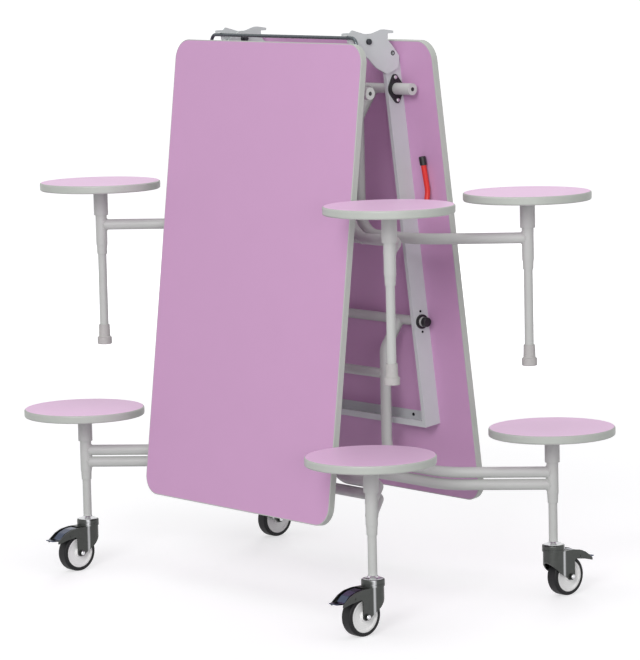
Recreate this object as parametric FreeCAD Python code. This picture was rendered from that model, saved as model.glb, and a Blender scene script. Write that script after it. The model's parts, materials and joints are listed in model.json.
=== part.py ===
import FreeCAD, Part
import math
import os

# A mobile folding table with eight stool seats, folded upright. Millimetres, +Z up, floor at Z = 0.
# X runs along the centre hinge. The front half lies at -Y and the rear half at +Y.
# Everything is drawn for the rear half. The front half is the same pieces half a turn round Z.
# Heights of the seat frames are given as they stand on the floor. An upper frame is the same frame
# lifted by the distance between the two pivots.

# ---- table panels ----
TABLE_HEIGHT = 732.0          # top face above the floor, unfolded
PANEL_LENGTH = 1194.0         # from the hinge side to the far end
PANEL_WIDTH = 748.0
PANEL_THICK = 18.0
PANEL_CORNER = 50.0
LIP_THICK = 2.5               # edge lipping round a panel
LIP_ROUNDING = 1.2
CLOSED_LEAN = 7.025           # degrees between a folded panel and the vertical

# ---- centre hinge ----
HINGE_SETBACK = 13.0          # panel edge to hinge line, along the panel
HINGE_DROP = 119.0            # top face to hinge line, through the panel
HINGE_BOLT_RADIUS = 6.0
HINGE_HEAD_RADIUS = 7.5
HINGE_HEAD_HEIGHT = 7.0
HINGE_HEAD_ROUNDING = 2.5
HINGE_NUT = 19.0              # across flats
HINGE_POINT = 2.0             # bolt end past its nut
HINGE_PLATE = 5.0
PLATE_CLEARANCE = 1.0         # horned plate to the web of the front rail
WASHER_RADIUS = 11.0
FRONT_EYE = 18.0              # half width of the plain hinge plate round its bolt
PLATE_HOLE_S = 28.0
PLATE_HOLE_RADIUS = 4.5

# ---- rails under the panels ----
RAIL_INSET = 124.0            # panel's side to the outer face of a side rail's web
RAIL_DEPTH = 50.0
RAIL_FLANGE = 19.0            # against the panel
RAIL_LIP = 11.0               # free edge
RAIL_WALL = 3.0
RAIL_START = 7.0              # along the panel from its hinge side
RAIL_END = 998.0
RAIL_MITRE = 34.0             # length of the slanted end, from half depth to the panel
RAIL_RELIEF = 62.0            # end of the cut in the free flange beside the hinge
CROSS_FLANGE = 26.0           # flange of the cross channel against the panel
CROSS_LIP = 16.0
CROSS_HOLE_X = 152.6
CROSS_HOLE_RADIUS = 2.5

# ---- pivots of the seat frames ----
UPPER_PIVOT_S = 119.0         # along the panel from its hinge side
LOWER_PIVOT_S = 723.0
PIVOT_RADIUS = 12.5
TUBE_WALL = 2.0
RUNNING_FIT = 0.05            # radial clearance of a shaft that turns in its bore
UPPER_TUBE_PROUD = 91.0       # tube end past the rail's web, with no shift
LOWER_TUBE_PROUD = 7.0        # tube end past the bush
FRAME_SHIFT = -25.0           # middle of a rear frame along X
SLEEVE_WALL = 2.5
TUBE_PLUG = 4.0               # plug flush with the end of an upper tube
TUBE_PLUG_HOLE = 4.0
END_CAP_LENGTH = 13.0
END_CAP_PLUG = 8.0
END_CAP_ROUNDING = 2.0
BUSH_FLANGE = 5.0
BUSH_WALL = 4.0               # barrel round the tube
BUSH_RIM = 7.5                # rhombic flange past the barrel
BUSH_EAR = 8.2
BUSH_SCREW_SPACING = 57.6
BUSH_SCREW_RADIUS = 2.5
BUSH_SCREW_HEAD = 4.8
BUSH_SCREW_HEIGHT = 3.2
LOWER_BUSH_RIM = 2.0
LOWER_HOLE_SPACING = 54.0
LOWER_HOLE_RADIUS = 3.0
SIDE_CLEARANCE = 0.4          # between parts that turn side by side

# ---- seat frames ----
FRAME_RADIUS = 14.0
CROSS_RADIUS = 12.5
UPRIGHT_CLEARANCE = 1.0       # upright to the rail's flange, unfolded
RUN_INSET = 52.0              # uprights inward of the pivot
UPRIGHT_START = 3.0           # upright's end from the pivot's axis, inside its tube
SWAN_DROP = 72.0              # height over which an upright steps inward
SWAN_RADIUS = 42.0
KNEE_RADIUS = 65.0
ELBOW_RADIUS = 120.0
ARM_DROP = 115.5              # seat top to the arm's middle
STACK_GAP = 3.5               # between the two arm tubes of a lower frame
SECOND_CROSS_DROP = 137.0     # below the pivot

# ---- seat posts ----
POST_X = 584.0
POST_OUT = 136.4              # outward of the pivot
SEAT_HEIGHT = 436.0
SEAT_RADIUS = 160.0
SEAT_THICK = 21.0
SEAT_BAND = 3.0
SEAT_ROUNDING = 4.0
MOUNT_RADIUS = 62.0
MOUNT_THICK = 4.0
COLLAR_WALL = 7.75
SOCKET_WALL = 3.75
SOCKET_LOW_WALL = 1.95
SOCKET_ABOVE = 25.5           # socket top above the arm's middle
SOCKET_LENGTH = 104.0
SOCKET_NARROW = 26.0          # length of the narrowed end
SOCKET_STEP = 8.0
LEG_RADIUS = 11.25
LEG_WALL = 1.75
LEG_GAP = 2.0                 # leg's end to the bottom of its collar's bore
FOOT_LIFT = 0.5               # rubber foot above the floor when the table is open
FOOT_HEIGHT = 52.0
FOOT_WALL = 7.75
FOOT_BAND = 20.0
FOOT_NECK_WALL = 3.75
FOOT_SOLE = 9.0

# ---- castors ----
WHEEL_RADIUS = 50.0
TYRE_HALF = 16.0
TYRE_DEPTH = 10.0
TYRE_ROUNDING = 5.0
HUB_RIM = 5.0
HUB_FACE_HALF = 12.5
HUB_BOSS_RADIUS = 11.0
HUB_BOSS_PROUD = 3.5          # boss past the tyre's side
HUB_CLEARANCE = 1.5           # boss to the fork
AXLE_RADIUS = 5.0
AXLE_NUT = 13.0               # across flats
AXLE_NUT_HEIGHT = 5.0
AXLE_POINT = 1.5
CASTOR_TRAIL = 40.0
CROWN_CLEARANCE = 15.0        # tyre to the fork's roof
HEAD_RADIUS = 29.0
HEAD_HEIGHT = 18.0
HEAD_ROUNDING = 4.0
STEM_RADIUS = 7.0
STEM_HEIGHT = 46.0            # stem inside the leg
RIVET_RADIUS = 11.0
RIVET_THICK = 4.0
FORK_WALL = 3.0
FORK_NOSE = 4.0               # middle of the round front ahead of the swivel's axis
FORK_FOOT = 9.0               # end of the legs below the axle
PEDAL_PIN_BEYOND = 34.0       # past the axle
PEDAL_PIN_DROP = 2.0          # below the top of the tyre
PEDAL_PIN_RADIUS = 3.0
PEDAL_HALF = 14.0
PEDAL_THICK = 3.5

# ---- latch bar ----
LATCH_REACH = 70.0            # hinge line to the bar
LATCH_ANGLE = 10.2            # degrees above the level of the hinge line
LATCH_RADIUS = 4.5
LATCH_PLAY = 0.8
LATCH_OUT = 40.0              # legs outside the rails
LATCH_PIVOT_S = 60.0
LATCH_PIVOT_INSET = 9.0       # from the rail's back
LATCH_SHOULDER = 18.0
LATCH_FOOT = 12.0
HORN_PAST = 14.0              # horn tip past the bar
HORN_TOP = 24.8
HORN_THICK = 6.8
BUMP_INSET = 18.0             # rise behind the horn, inward of the bar
BUMP_Z = 31.0
DIP_Z = 20.0

# ---- release lever ----
LEVER_OUT = 59.0              # outside the rail
LEVER_KINK_OUT = 66.0
LEVER_DEPTH = 30.0
LEVER_TOP_S = 296.0
LEVER_KINK_S = 382.0
LEVER_PIVOT_S = 426.0
LEVER_RADIUS = 7.0
LEVER_WALL = 1.5
LEVER_CAP_RADIUS = 9.0
LEVER_CAP_LENGTH = 22.0
LEVER_CAP_END = 3.0           # closed end past the tube
LEVER_GAP = 1.0               # pin end to the rail
LEVER_BOSS_RADIUS = 12.0
LEVER_BOSS_LENGTH = 26.0
LEVER_BEND = 24.0
LEVER_KINK_RADIUS = 60.0

# ---- places worked out from the sizes above ----
LEAN = math.radians(CLOSED_LEAN)
RAIL_X = PANEL_WIDTH / 2 - RAIL_INSET
PIVOT_DEPTH = PANEL_THICK + RAIL_DEPTH / 2
RAIL_BACK = PANEL_THICK + RAIL_DEPTH
PIVOT_HEIGHT = TABLE_HEIGHT - PIVOT_DEPTH
PIVOT_SPACING = LOWER_PIVOT_S - UPPER_PIVOT_S
RISE = PIVOT_SPACING * math.cos(LEAN)
HINGE_TO_PIVOT = LOWER_PIVOT_S + HINGE_SETBACK
PIVOT_ARM = HINGE_DROP - PIVOT_DEPTH
HINGE_HEIGHT = PIVOT_HEIGHT + HINGE_TO_PIVOT * math.cos(LEAN) - PIVOT_ARM * math.sin(LEAN)
LOWER_PIVOT_Y = HINGE_TO_PIVOT * math.sin(LEAN) + PIVOT_ARM * math.cos(LEAN)
UPPER_PIVOT_Y = LOWER_PIVOT_Y - PIVOT_SPACING * math.sin(LEAN)
PLATE_X = RAIL_X + PLATE_CLEARANCE
HORN_TIP = LATCH_REACH + HORN_PAST
BUMP_Y = LATCH_REACH - BUMP_INSET
LATCH_HALF = RAIL_X + LATCH_OUT
LATCH_PIVOT_DEPTH = RAIL_BACK - LATCH_PIVOT_INSET
LEVER_X = RAIL_X + LEVER_OUT
LEVER_KINK_X = RAIL_X + LEVER_KINK_OUT
BUSH_BARREL = PIVOT_RADIUS + BUSH_WALL
BUSH_MIDDLE = BUSH_BARREL + BUSH_RIM
LOWER_BUSH_RADIUS = BUSH_BARREL + LOWER_BUSH_RIM
SLEEVE_RADIUS = PIVOT_RADIUS + SLEEVE_WALL
UPPER_TUBE_HALF = RAIL_X + UPPER_TUBE_PROUD
LOWER_TUBE_HALF = RAIL_X + BUSH_FLANGE + LOWER_TUBE_PROUD
UPRIGHT_HALF = RAIL_X - RAIL_FLANGE - UPRIGHT_CLEARANCE - FRAME_RADIUS + FRAME_SHIFT
ARM_HEIGHT = SEAT_HEIGHT - ARM_DROP
STACK_PITCH = 2 * FRAME_RADIUS + STACK_GAP
SECOND_CROSS_HEIGHT = PIVOT_HEIGHT - SECOND_CROSS_DROP
COLLAR_RADIUS = LEG_RADIUS + COLLAR_WALL
COLLAR_BOTTOM = ARM_HEIGHT + SOCKET_ABOVE
SOCKET_BOTTOM = COLLAR_BOTTOM - SOCKET_LENGTH
SOCKET_TAPER_TOP = SOCKET_BOTTOM + SOCKET_NARROW
SOCKET_RADIUS = LEG_RADIUS + SOCKET_WALL
SOCKET_LOW_RADIUS = LEG_RADIUS + SOCKET_LOW_WALL
FOOT_RADIUS = LEG_RADIUS + FOOT_WALL
FOOT_NECK = LEG_RADIUS + FOOT_NECK_WALL
ELBOW_X = POST_X - POST_OUT - RUN_INSET
SEAT_UNDERSIDE = SEAT_HEIGHT - SEAT_THICK
HUB_BOSS_HALF = TYRE_HALF + HUB_BOSS_PROUD
FORK_RADIUS = HUB_BOSS_HALF + HUB_CLEARANCE + FORK_WALL
FORK_TOP = 2 * WHEEL_RADIUS + CROWN_CLEARANCE + FORK_WALL
CASTOR_HEIGHT = FORK_TOP + HEAD_HEIGHT
PEDAL_PIN_BACK = CASTOR_TRAIL + PEDAL_PIN_BEYOND
PEDAL_PIN_HEIGHT = 2 * WHEEL_RADIUS - PEDAL_PIN_DROP

V = FreeCAD.Vector
ORIGIN = V(0, 0, 0)
X_AXIS = V(1, 0, 0)
Z_AXIS = V(0, 0, 1)
SIDES = {"left": -1, "right": 1}
TWIN_SIDE = {"left": "right", "right": "left"}


# ---- drawing helpers ----

def bar(radius, start, end):
    """Round bar between two points."""
    return Part.makeCylinder(radius, start.distanceToPoint(end), start, end - start)


def pipe(outer, inner, start, end):
    """Straight tube between two points."""
    return bar(outer, start, end).cut(bar(inner, start, end))


def corner(before, point, after, radius):
    """Start, end, centre and turn of the arc that rounds the corner at point."""
    back = (before - point).normalize()
    ahead = (after - point).normalize()
    turn = math.pi - back.getAngle(ahead)
    reach = radius * math.tan(turn / 2)
    middle = (back + ahead).normalize()
    centre = point + middle * (radius / math.cos(turn / 2))
    return point + back * reach, point + ahead * reach, centre, turn, middle


def section(centre, direction, outer, inner):
    """Round or annular face, square to the direction."""
    disc = Part.Face(Part.Wire(Part.makeCircle(outer, centre, direction)))
    if inner <= 0:
        return disc
    bore = Part.Face(Part.Wire(Part.makeCircle(inner, centre, direction)))
    return disc.cut(bore).Faces[0]


def bent_tube(points, radii, outer, inner=0.0):
    """Tube, or bar if inner is 0, along straight runs that are joined by tangent arcs."""
    face = section(points[0], points[1] - points[0], outer, inner)
    cursor = points[0]
    spans = []
    for index, radius in enumerate(radii, start=1):
        before, point, after = points[index - 1:index + 2]
        start, end, centre, turn, _ = corner(before, point, after, radius)
        spans.append(face.extrude(start - cursor))
        face.translate(start - cursor)
        axis = (point - before).cross(after - point)
        spans.append(face.revolve(centre, axis, math.degrees(turn)))
        face.rotate(centre, axis, math.degrees(turn))
        cursor = end
    spans.append(face.extrude(points[-1] - cursor))
    return spans[0].multiFuse(spans[1:])


def rounded_wire(points, radii):
    """Closed outline with an arc at each corner that has a radius."""
    edges = []
    ends = []
    count = len(points)
    for index, (point, radius) in enumerate(zip(points, radii)):
        before = points[index - 1]
        after = points[(index + 1) % count]
        if radius <= 0:
            ends.append((point, point))
            continue
        start, end, centre, _, middle = corner(before, point, after, radius)
        edges.append(Part.Arc(start, centre - middle * radius, end).toShape())
        ends.append((start, end))
    for index in range(count):
        start = ends[index][1]
        end = ends[(index + 1) % count][0]
        if start.distanceToPoint(end) > 0.001:
            edges.append(Part.makeLine(start, end))
    return Part.Wire(Part.__sortEdges__(edges))


def plate(points, radii, extrusion):
    """Flat plate with a rounded outline."""
    return Part.Face(rounded_wire(points, radii)).extrude(extrusion)


def block(low, high):
    """Box between two opposite corners."""
    return Part.makeBox(high.x - low.x, high.y - low.y, high.z - low.z, low)


def turned(profile, base, axis):
    """Solid turned from (radius, height) points round an axis through base, along Z before tilting."""
    points = [V(radius, 0, height) for radius, height in profile]
    face = Part.Face(Part.makePolygon(points + points[:1]))
    solid = face.revolve(ORIGIN, Z_AXIS, 360)
    solid.Placement = FreeCAD.Placement(base, FreeCAD.Rotation(Z_AXIS, axis))
    return solid


def rounded(solid, radius, test):
    """Fillets the edges that pass the test."""
    return solid.makeFillet(radius, [edge for edge in solid.Edges if test(edge)])


def mirrored(solid):
    """The same piece on the other side of the middle."""
    return solid.mirror(ORIGIN, X_AXIS)


def pair(solid):
    return [solid, mirrored(solid)]


def half_turn(solid):
    """The front half's twin of a rear piece."""
    twin = solid.copy()
    twin.rotate(ORIGIN, Z_AXIS, 180)
    return twin


def moved(solid, offset):
    copy = solid.copy()
    copy.translate(offset)
    return copy


def export(name, solids):
    shape = solids[0] if len(solids) == 1 else Part.makeCompound(solids)
    shape.exportStep(f"parts/{name}.step")


def export_both(name, solids):
    export(f"rear_{name}", solids)
    export(f"front_{name}", [half_turn(solid) for solid in solids])


def export_twins(prefix, side, name, solids):
    """Writes a rear piece of one side and its front twin, which lies on the other side."""
    export(f"rear_{prefix}{side}_{name}", solids)
    export(f"front_{prefix}{TWIN_SIDE[side]}_{name}", [half_turn(solid) for solid in solids])


# ---- the rear panel's own frame: x along the hinge, s down the panel, depth in from its top face ----

def flat(x, s, depth):
    return V(x, -depth, -s)


def folded(solid):
    """Takes a piece from the panel's own frame to where the folded rear panel stands."""
    copy = solid.copy()
    copy.rotate(ORIGIN, X_AXIS, CLOSED_LEAN)
    copy.translate(V(0, *from_hinge(0, 0)))
    return copy


def from_hinge(s, depth):
    """World Y and Z of a place on the folded rear panel."""
    along = s + HINGE_SETBACK
    across = HINGE_DROP - depth
    y = along * math.sin(LEAN) + across * math.cos(LEAN)
    z = HINGE_HEIGHT - along * math.cos(LEAN) + across * math.sin(LEAN)
    return y, z


def at_panel(x, s, depth):
    return V(x, *from_hinge(s, depth))


# ---- panels ----

def board(inset):
    """Flat board with rounded corners, inset from the panel's true edge."""
    half = PANEL_WIDTH / 2 - inset
    top, bottom = inset, PANEL_LENGTH - inset
    points = [flat(-half, top, 0), flat(half, top, 0), flat(half, bottom, 0), flat(-half, bottom, 0)]
    return plate(points, [PANEL_CORNER - inset] * 4, V(0, -PANEL_THICK, 0))


def is_rim(edge):
    """True for the edges that lie in the two faces of a flat board."""
    return edge.BoundBox.YLength < 0.01


def lipping():
    blank = rounded(board(0.0), LIP_ROUNDING, is_rim)
    return blank.cut(board(LIP_THICK))


def make_panels():
    export_both("table_panel", [folded(board(LIP_THICK))])
    export_both("panel_lipping", [folded(lipping())])


def side_rail():
    """Channel that opens towards the middle, with the holes for what it carries."""
    web = block(V(RAIL_X - RAIL_WALL, -RAIL_BACK, -RAIL_END), V(RAIL_X, -PANEL_THICK, -RAIL_START))
    inner = RAIL_X - RAIL_FLANGE
    back = PANEL_THICK + RAIL_WALL
    seat = block(V(inner, -back, -RAIL_END), V(RAIL_X, -PANEL_THICK, -RAIL_START))
    free = block(V(RAIL_X - RAIL_LIP, -RAIL_BACK, -RAIL_END), V(RAIL_X, RAIL_WALL - RAIL_BACK, -RAIL_RELIEF))
    rail = web.multiFuse([seat, free]).removeSplitter()
    mitre = [flat(inner, RAIL_START, PIVOT_DEPTH), flat(inner, RAIL_START + RAIL_MITRE, PANEL_THICK)]
    wedge = Part.makePolygon(mitre + [flat(inner, RAIL_START, PANEL_THICK), mitre[0]])
    rail = rail.cut(Part.Face(wedge).extrude(V(RAIL_FLANGE, 0, 0)))
    for s in (UPPER_PIVOT_S, LOWER_PIVOT_S):
        rail = rail.cut(rail_hole(s, PIVOT_DEPTH, BUSH_BARREL))
    for offset in (-LOWER_HOLE_SPACING / 2, LOWER_HOLE_SPACING / 2):
        rail = rail.cut(rail_hole(LOWER_PIVOT_S + offset, PIVOT_DEPTH, LOWER_HOLE_RADIUS))
    for offset in (-BUSH_SCREW_SPACING / 2, BUSH_SCREW_SPACING / 2):
        rail = rail.cut(rail_hole(UPPER_PIVOT_S + offset, PIVOT_DEPTH, BUSH_SCREW_RADIUS))
    rail = rail.cut(rail_hole(PLATE_HOLE_S, PIVOT_DEPTH, PLATE_HOLE_RADIUS))
    return rail.cut(rail_hole(LATCH_PIVOT_S, LATCH_PIVOT_DEPTH, LATCH_RADIUS + RUNNING_FIT))


def rail_hole(s, depth, radius):
    return bar(radius, flat(RAIL_X - 2 * RAIL_WALL, s, depth), flat(RAIL_X + RAIL_WALL, s, depth))


def cross_channel():
    """Channel across the lower ends of the rails, coped round their flanges."""
    half = RAIL_X - RAIL_WALL
    low = -RAIL_END
    web = block(V(-half, -RAIL_BACK, low), V(half, -PANEL_THICK, low + RAIL_WALL))
    seat = block(V(-half, -PANEL_THICK - RAIL_WALL, low), V(half, -PANEL_THICK, low + CROSS_FLANGE))
    lip = block(V(-half, -RAIL_BACK, low), V(half, RAIL_WALL - RAIL_BACK, low + CROSS_LIP))
    channel = web.multiFuse([seat, lip]).removeSplitter()
    for rail in pair(side_rail()):
        channel = channel.cut(rail)
    middle = RAIL_END - (CROSS_FLANGE + RAIL_WALL) / 2
    for x in (-CROSS_HOLE_X, CROSS_HOLE_X):
        start, end = flat(x, middle, PANEL_THICK), flat(x, middle, PIVOT_DEPTH)
        channel = channel.cut(bar(CROSS_HOLE_RADIUS, start, end))
    return channel


def lever_boss():
    """Boss welded outside the rear rail, which the release lever's pin turns in."""
    start = flat(RAIL_X, LEVER_PIVOT_S, PIVOT_DEPTH)
    end = flat(RAIL_X + LEVER_BOSS_LENGTH, LEVER_PIVOT_S, PIVOT_DEPTH)
    return pipe(LEVER_BOSS_RADIUS, LEVER_RADIUS + RUNNING_FIT, start, end)


def make_rails():
    rails = [folded(solid) for solid in pair(side_rail()) + [cross_channel()]]
    export("front_rails", [half_turn(solid) for solid in rails])
    export("rear_rails", rails + [folded(lever_boss())])


# ---- pivot bushes ----

def tangent_angle(radius, small, distance):
    """Angle at which one line touches a circle and a smaller one at a distance."""
    return math.acos((radius - small) / distance)


def rhombic_flange():
    """Two-eared flange in the panel's frame, centred on the upper pivot."""
    reach = BUSH_SCREW_SPACING / 2
    angle = tangent_angle(BUSH_MIDDLE, BUSH_EAR, reach)
    across, along = math.sin(angle), math.cos(angle)
    corners = []
    for up, side in ((1, 1), (1, -1), (-1, -1), (-1, 1)):
        middle = V(0, side * BUSH_MIDDLE * across, up * BUSH_MIDDLE * along)
        ear = V(0, side * BUSH_EAR * across, up * (reach + BUSH_EAR * along))
        corners.append((middle, ear) if up * side > 0 else (ear, middle))
    points = [point for ends in corners for point in ends]
    web = Part.Face(Part.makePolygon(points + points[:1])).extrude(V(BUSH_FLANGE, 0, 0))
    discs = [bar(BUSH_MIDDLE, ORIGIN, V(BUSH_FLANGE, 0, 0))]
    discs += [bar(BUSH_EAR, V(0, 0, z), V(BUSH_FLANGE, 0, z)) for z in (-reach, reach)]
    return web.multiFuse(discs).removeSplitter()


def bored(flange, s):
    """Adds the barrel that fills the rail's hole and bores it for the pivot tube."""
    barrel = bar(BUSH_BARREL, V(-2 * RAIL_WALL, 0, 0), ORIGIN)
    bore = bar(PIVOT_RADIUS + RUNNING_FIT, V(-4 * RAIL_WALL, 0, 0), V(4 * BUSH_FLANGE, 0, 0))
    bush = flange.fuse(barrel).cut(bore)
    return moved(bush, flat(RAIL_X, s, PIVOT_DEPTH))


def upper_bush():
    flange = rhombic_flange()
    for z in (-BUSH_SCREW_SPACING / 2, BUSH_SCREW_SPACING / 2):
        flange = flange.cut(bar(BUSH_SCREW_RADIUS, V(0, 0, z), V(BUSH_FLANGE, 0, z)))
    return bored(flange, UPPER_PIVOT_S)


def lower_bush():
    return bored(bar(LOWER_BUSH_RADIUS, ORIGIN, V(BUSH_FLANGE, 0, 0)), LOWER_PIVOT_S)


def bush_screw(offset):
    """Pan head screw with its point inside the rail."""
    s = UPPER_PIVOT_S + offset
    face = RAIL_X + BUSH_FLANGE
    seat = flat(face, s, PIVOT_DEPTH)
    shank = bar(BUSH_SCREW_RADIUS, flat(RAIL_X - 3 * RAIL_WALL, s, PIVOT_DEPTH), seat)
    head = bar(BUSH_SCREW_HEAD, seat, flat(face + BUSH_SCREW_HEIGHT, s, PIVOT_DEPTH))
    head = rounded(head, BUSH_SCREW_HEIGHT / 2, lambda edge: edge.BoundBox.XMin > face + 0.1)
    return shank.fuse(head)


def make_bushes():
    bushes = pair(upper_bush()) + pair(lower_bush())
    export_both("pivot_bushes", [folded(bush) for bush in bushes])
    screws = pair(bush_screw(-BUSH_SCREW_SPACING / 2)) + pair(bush_screw(BUSH_SCREW_SPACING / 2))
    export_both("bush_screws", [folded(screw) for screw in screws])


# ---- centre hinge ----

def latch_rest():
    """Y and Z of the latch bar from the hinge line, folded."""
    angle = math.radians(180 - LATCH_ANGLE)
    return LATCH_REACH * math.cos(angle), LATCH_REACH * math.sin(angle)


def notch_centres():
    """Where the bar lies in the horned plate: folded, and with the table open."""
    y, z = latch_rest()
    turn = 2 * LEAN - math.pi
    open_y = y * math.cos(turn) - z * math.sin(turn)
    open_z = y * math.sin(turn) + z * math.cos(turn)
    return (y, z), (open_y, open_z)


def horned_outline():
    """Outline of the horned plate from the hinge line, with a throat for the bar under each horn."""
    def rim(s, depth):
        y, z = from_hinge(s, depth)
        return y, z - HINGE_HEIGHT

    throat_top = HORN_TOP - HORN_THICK
    step = HORN_TOP - 0.5
    lip = LATCH_REACH - LATCH_RADIUS
    bump = [(-BUMP_Y, BUMP_Z), (-BUMP_Y - 7, step)]
    left = bump + [(-HORN_TIP, step), (-HORN_TIP, throat_top), (-lip, throat_top)]
    right = [(lip, throat_top), (HORN_TIP, throat_top), (HORN_TIP, HORN_TOP), (BUMP_Y + 2, BUMP_Z - 2)]
    belly = rim(PLATE_HOLE_S + 28, RAIL_BACK + 34)
    low = [(-lip, 1.0), (-46, -14), (0, -42), belly, rim(PLATE_HOLE_S + 50, RAIL_BACK)]
    rail = [rim(PLATE_HOLE_S + 40, PANEL_THICK + 12), rim(RAIL_START + 32, PANEL_THICK + 4)]
    rail += [rim(RAIL_START, PIVOT_DEPTH), (lip, 1.0)]
    dip = [(BUMP_Y - 8, BUMP_Z - 2), (12, DIP_Z), (-12, DIP_Z)]
    ring = left + low + rail + right + dip
    radii = [3, 2, 2, 2, 1.2, 0, 20, 30, 45, 4, 8, 8, 8, 0, 1.2, 2, 2, 3, 6, 20, 20]
    return ring, radii


def horned_plate():
    """Hinge plate of the rear rail, whose horns catch the latch bar folded and open."""
    ring, radii = horned_outline()
    points = [V(PLATE_X, y, HINGE_HEIGHT + z) for y, z in ring]
    body = plate(points, radii, V(HINGE_PLATE, 0, 0))
    for y, z in notch_centres():
        seat = V(PLATE_X, y, HINGE_HEIGHT + z)
        body = body.cut(bar(LATCH_RADIUS + LATCH_PLAY, seat, seat + V(HINGE_PLATE, 0, 0)))
    low = flat(RAIL_X, PLATE_HOLE_S + 32, RAIL_BACK - 4)
    high = flat(PLATE_X, RAIL_START + 12, PANEL_THICK + 16)
    pad = folded(block(low, high))
    body = body.fuse(pad)
    eye = V(RAIL_X - HINGE_PLATE, 0, HINGE_HEIGHT)
    body = body.cut(bar(HINGE_BOLT_RADIUS + RUNNING_FIT, eye, eye + V(4 * HINGE_PLATE, 0, 0)))
    start = at_panel(RAIL_X - HINGE_PLATE, PLATE_HOLE_S, PIVOT_DEPTH)
    return body.cut(bar(PLATE_HOLE_RADIUS, start, start + V(4 * HINGE_PLATE, 0, 0)))


def plain_plate():
    """Hinge plate welded inside the front rail, drawn for the rear side before its half turn."""
    outer = HINGE_DROP - PANEL_THICK - 4
    inner = HINGE_DROP - RAIL_BACK + 3
    low = RAIL_RELIEF - 2 + HINGE_SETBACK - 12
    middle = HINGE_DROP - PIVOT_DEPTH - 6
    ring = [(-FRONT_EYE, -FRONT_EYE), (-FRONT_EYE, FRONT_EYE - 2), (RAIL_START + HINGE_SETBACK + 3, middle),
            (low, outer), (low, inner), (FRONT_EYE, -FRONT_EYE)]
    face_x = RAIL_X - RAIL_WALL - HINGE_PLATE
    points = [at_panel(face_x, along - HINGE_SETBACK, HINGE_DROP - across) for along, across in ring]
    body = plate(points, [17, 12, 20, 4, 6, 17], V(HINGE_PLATE, 0, 0))
    eye = V(face_x, 0, HINGE_HEIGHT)
    return body.cut(bar(HINGE_BOLT_RADIUS, eye, eye + V(HINGE_PLATE, 0, 0)))


def hex_prism(across, start, length):
    """Hexagonal nut or head along X."""
    radius = across / math.sqrt(3)
    angles = [math.radians(60 * step) for step in range(6)]
    points = [start + V(0, radius * math.cos(a), radius * math.sin(a)) for a in angles]
    return Part.Face(Part.makePolygon(points + points[:1])).extrude(V(length, 0, 0))


def hinge_bolt():
    """Pivot bolt with its domed head outside, a spacer washer between the plates, and a nut."""
    y, z = 0.0, HINGE_HEIGHT
    inside = RAIL_X - RAIL_WALL - HINGE_PLATE
    head_x = PLATE_X + HINGE_PLATE + SIDE_CLEARANCE / 4
    point_x = inside - HINGE_HEAD_HEIGHT - HINGE_POINT
    shank = bar(HINGE_BOLT_RADIUS, V(point_x, y, z), V(head_x, y, z))
    head = bar(HINGE_HEAD_RADIUS, V(head_x, y, z), V(head_x + HINGE_HEAD_HEIGHT, y, z))
    head = rounded(head, HINGE_HEAD_ROUNDING, lambda edge: edge.BoundBox.XMin > head_x + 1)
    nut = hex_prism(HINGE_NUT, V(inside - HINGE_HEAD_HEIGHT, y, z), HINGE_HEAD_HEIGHT)
    washer_end = PLATE_X - SIDE_CLEARANCE / 4
    washer = pipe(WASHER_RADIUS, HINGE_BOLT_RADIUS, V(inside + HINGE_PLATE, y, z), V(washer_end, y, z))
    return [shank.multiFuse([head, nut]), washer]


def make_hinge():
    export("horned_hinge_plates", pair(horned_plate()))
    export("plain_hinge_plates", [half_turn(solid) for solid in pair(plain_plate())])
    bolts = []
    for piece in hinge_bolt():
        bolts += pair(piece)
    export("hinge_bolts", bolts)


# ---- latch bar ----

def make_latch():
    """One bent rod: a bar across both horned plates, a leg at each end and a pin in each front rail."""
    bar_y, bar_z = latch_rest()
    pivot_y, pivot_z = from_hinge(LATCH_PIVOT_S, LATCH_PIVOT_DEPTH)
    pin_x = RAIL_X - RAIL_WALL - 0.5
    foot = V(LATCH_HALF, -pivot_y, pivot_z)
    half = [V(pin_x, -pivot_y, pivot_z), foot, V(LATCH_HALF, bar_y, HINGE_HEIGHT + bar_z)]
    other = [V(-point.x, point.y, point.z) for point in reversed(half)]
    radii = [LATCH_FOOT, LATCH_SHOULDER, LATCH_SHOULDER, LATCH_FOOT]
    export("latch_bar", [bent_tube(half + other, radii, LATCH_RADIUS)])


# ---- release lever ----

def make_lever():
    """Bent tube with a cap, whose lower end turns in the boss on the rear rail."""
    cap_start = at_panel(LEVER_X, LEVER_TOP_S, LEVER_DEPTH)
    kink = at_panel(LEVER_KINK_X, LEVER_KINK_S, LEVER_DEPTH)
    heel = at_panel(LEVER_KINK_X, LEVER_PIVOT_S, PIVOT_DEPTH)
    pin_end = at_panel(RAIL_X + LEVER_GAP, LEVER_PIVOT_S, PIVOT_DEPTH)
    path = [cap_start, kink, heel, pin_end]
    tube = bent_tube(path, [LEVER_KINK_RADIUS, LEVER_BEND], LEVER_RADIUS, LEVER_RADIUS - LEVER_WALL)
    export("release_lever", [tube])
    along = (kink - cap_start).normalize()
    cap_end = cap_start + along * (LEVER_CAP_LENGTH - LEVER_CAP_END)
    cap = bar(LEVER_CAP_RADIUS, cap_start - along * LEVER_CAP_END, cap_end)
    cap = rounded(cap, 3, lambda edge: edge.CenterOfMass.z > cap_start.z)
    export("release_lever_cap", [cap.cut(bar(LEVER_RADIUS, cap_start, kink))])


# ---- seat frames, drawn with their pivot's Y as 0 ----

def arm_points(side, height):
    """From the straight run to the post."""
    return [V(side * ELBOW_X, -RUN_INSET, height), V(side * POST_X, POST_OUT, height)]


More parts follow.
